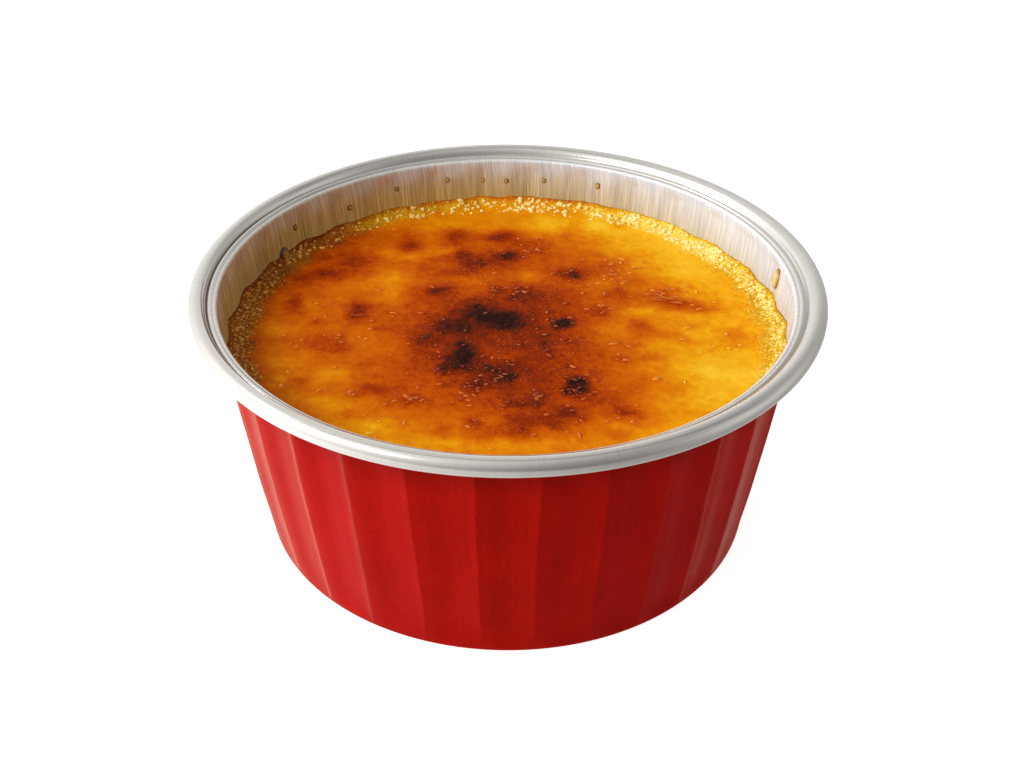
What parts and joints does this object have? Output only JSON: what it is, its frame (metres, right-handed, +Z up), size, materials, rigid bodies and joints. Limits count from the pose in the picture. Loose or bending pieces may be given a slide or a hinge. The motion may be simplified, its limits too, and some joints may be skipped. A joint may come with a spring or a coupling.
{
  "type": "creme brulee in a foil cup",
  "caption": "Caramelised custard dessert set in its own round fluted aluminium cup with a rolled rim, red outside and bare inside.",
  "frame": {"origin": "middle of the flat floor of the cup, on the surface it stands on", "axes": "+Z up along the cup's axis; -Y towards the side seen in front, +X to its right"},
  "size_m": [0.085, 0.085, 0.0364],
  "materials": {
    "red_lacquer": "satin red lacquer on thin aluminium sheet; the rim and the inside are bare",
    "bare_aluminium": "bare satin aluminium, drawn: the cup's rim and inside",
    "custard": "set egg custard under a thin glassy caramel, browned in patches and burnt in spots"
  },
  "bodies": {
    "root": {"cup": "red_lacquer", "custard": "custard"}
  },
  "joints": []
}
